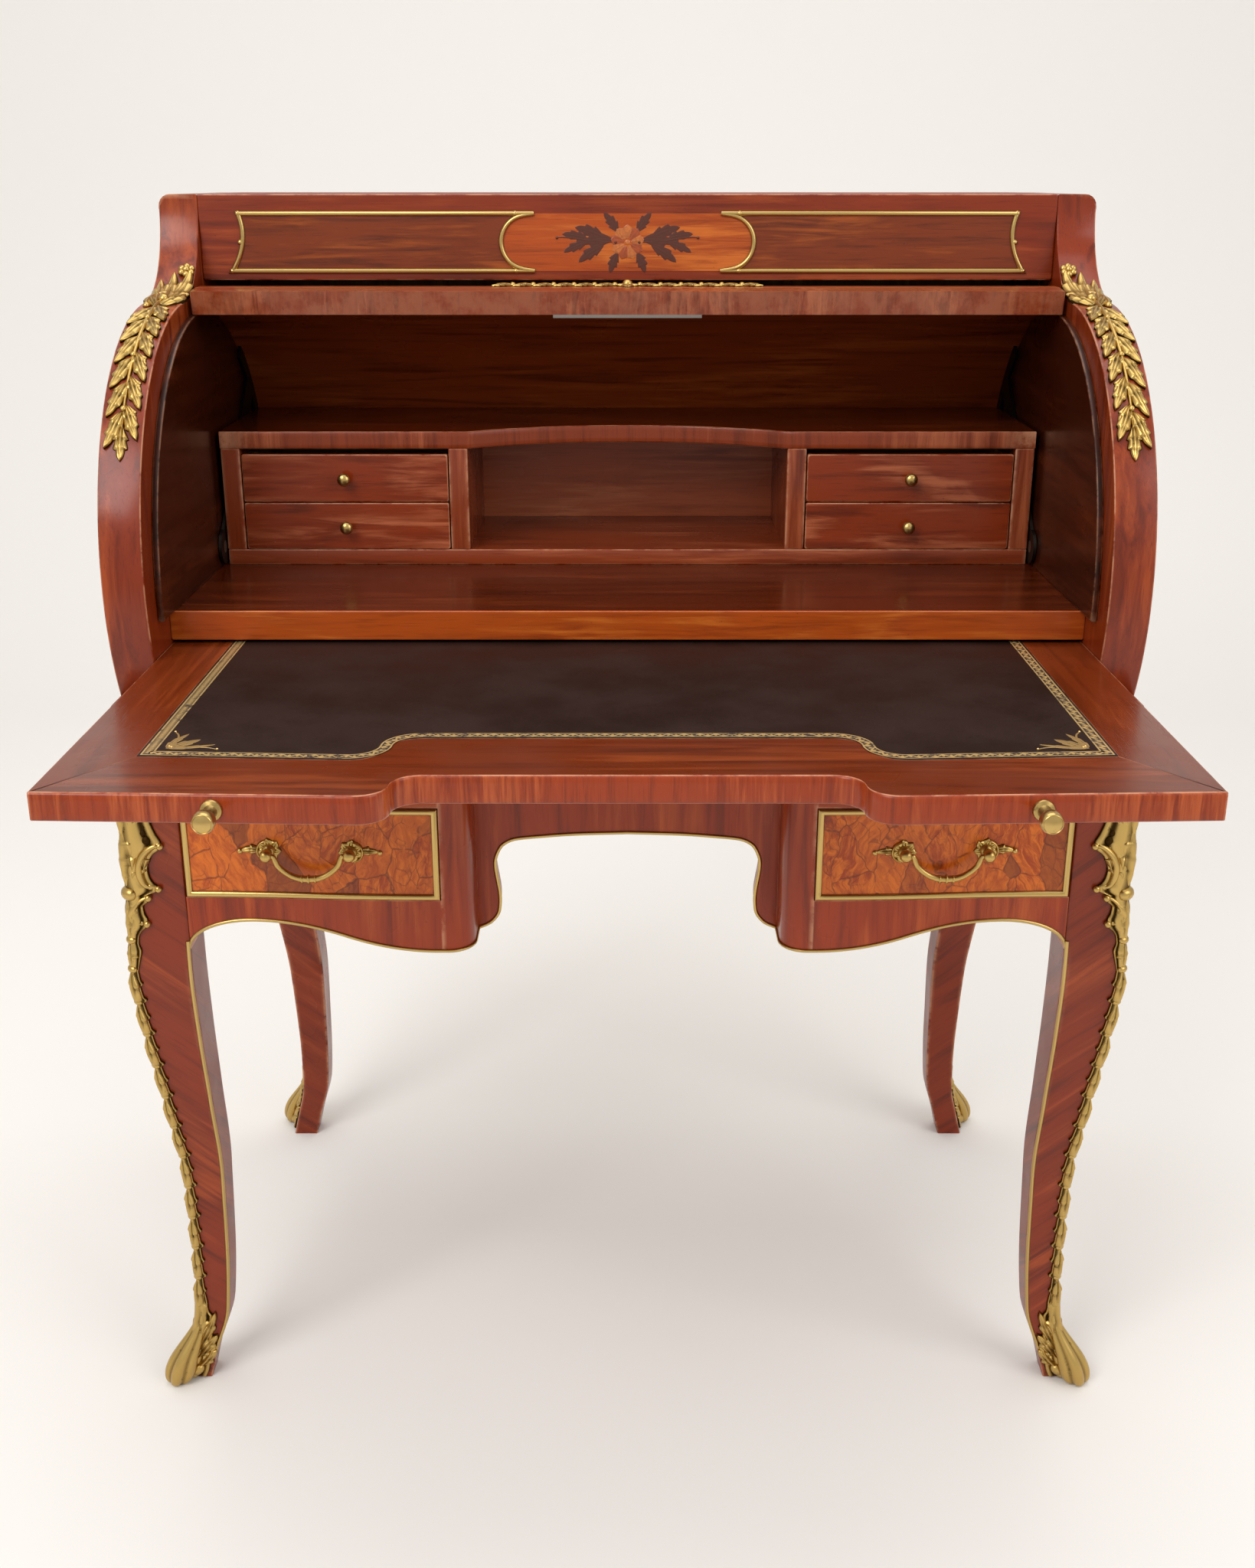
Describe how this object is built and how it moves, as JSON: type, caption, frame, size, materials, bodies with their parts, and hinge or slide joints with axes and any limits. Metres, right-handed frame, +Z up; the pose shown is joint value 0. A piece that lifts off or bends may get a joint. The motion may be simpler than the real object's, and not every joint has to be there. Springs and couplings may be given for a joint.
{
  "type": "cylinder desk",
  "caption": "Cylinder desk on cabriole legs: a rigid quarter cylinder swings over small inner drawers, with a leather-lined writing slide, frieze drawers and gilt bronze mounts.",
  "frame": {"origin": "on the floor, in the middle of the space that the open desk takes up", "axes": "+Z up, the sitter on the -Y side, +X to the sitter's right"},
  "size_m": [0.94, 0.8881, 1.142],
  "materials": {
    "veneer": "french polish",
    "bar_veneer": "worn polish",
    "inner_veneer": "french polish",
    "slide_veneer": "french polish",
    "burr_veneer": "french polish",
    "plain_wood": "bare",
    "bronze": "antique gilding",
    "steel": "filed",
    "leather": "waxed"
  },
  "bodies": {
    "carcass": {"leg_front_left": "veneer", "leg_front_right": "veneer", "leg_back_left": "veneer", "leg_back_right": "veneer", "apron_left": "veneer", "apron_right": "veneer", "apron_centre": "veneer", "frieze_rails": "veneer", "side_apron_left": "veneer", "side_apron_right": "veneer", "side_panel_left": "veneer", "side_panel_right": "veneer", "top_rail": "veneer", "top_board": "veneer", "kneehole_panels": "veneer", "side_linings": "inner_veneer", "deck": "inner_veneer", "case_base": "inner_veneer", "case_back": "inner_veneer", "case_uprights": "inner_veneer", "case_shelves": "inner_veneer", "case_top": "inner_veneer", "back_rail": "plain_wood", "dust_board": "plain_wood", "drawer_runners": "plain_wood", "slide_runners": "plain_wood", "back_panel": "plain_wood", "sabots": "bronze", "corner_mounts": "bronze", "brass_edging": "bronze", "rail_frames": "bronze", "band_mounts": "bronze", "pivot_pins": "steel"},
    "slide": {"slide_board": "slide_veneer", "leather_panel": "leather", "slide_knobs": "bronze"},
    "cylinder": {"cylinder_shell": "inner_veneer", "cylinder_bar": "bar_veneer", "cylinder_mount": "bronze", "cylinder_lock": "bronze", "cylinder_arms": "steel"},
    "drawer_left": {"drawer_front_left": "burr_veneer", "drawer_frame_left": "bronze", "drawer_box_left": "plain_wood", "handle_posts_left": "bronze"},
    "bail_left": {"bail_left": "bronze"},
    "drawer_right": {"drawer_front_right": "burr_veneer", "drawer_frame_right": "bronze", "drawer_box_right": "plain_wood", "handle_posts_right": "bronze"},
    "bail_right": {"bail_right": "bronze"},
    "small_drawer_lower_left": {"small_drawer_lower_left": "inner_veneer", "small_knob_lower_left": "bronze"},
    "small_drawer_lower_right": {"small_drawer_lower_right": "inner_veneer", "small_knob_lower_right": "bronze"},
    "small_drawer_upper_left": {"small_drawer_upper_left": "inner_veneer", "small_knob_upper_left": "bronze"},
    "small_drawer_upper_right": {"small_drawer_upper_right": "inner_veneer", "small_knob_upper_right": "bronze"}
  },
  "joints": [
    {"name": "slide_push", "type": "slide", "parent": "carcass", "child": "slide", "axis": [0, 1, 0], "range_m": [0, 0.3]},
    {"name": "cylinder_swing", "type": "hinge", "parent": "carcass", "child": "cylinder", "pos_m": [0, 0.173, 0.809], "axis": [1, 0, 0], "range_deg": [0, 92.5]},
    {"name": "drawer_left_pull", "type": "slide", "parent": "carcass", "child": "drawer_left", "axis": [0, -1, 0], "range_m": [0, 0.24]},
    {"name": "bail_left_swing", "type": "hinge", "parent": "drawer_left", "child": "bail_left", "pos_m": [-0.284, -0.113, 0.591], "axis": [-1, 0, 0], "range_deg": [0, 75]},
    {"name": "drawer_right_pull", "type": "slide", "parent": "carcass", "child": "drawer_right", "axis": [0, -1, 0], "range_m": [0, 0.24]},
    {"name": "bail_right_swing", "type": "hinge", "parent": "drawer_right", "child": "bail_right", "pos_m": [0.284, -0.113, 0.591], "axis": [-1, 0, 0], "range_deg": [0, 75]},
    {"name": "small_drawer_lower_left_pull", "type": "slide", "parent": "carcass", "child": "small_drawer_lower_left", "axis": [0, -1, 0], "range_m": [0, 0.13]},
    {"name": "small_drawer_lower_right_pull", "type": "slide", "parent": "carcass", "child": "small_drawer_lower_right", "axis": [0, -1, 0], "range_m": [0, 0.13]},
    {"name": "small_drawer_upper_left_pull", "type": "slide", "parent": "carcass", "child": "small_drawer_upper_left", "axis": [0, -1, 0], "range_m": [0, 0.13]},
    {"name": "small_drawer_upper_right_pull", "type": "slide", "parent": "carcass", "child": "small_drawer_upper_right", "axis": [0, -1, 0], "range_m": [0, 0.13]}
  ]
}
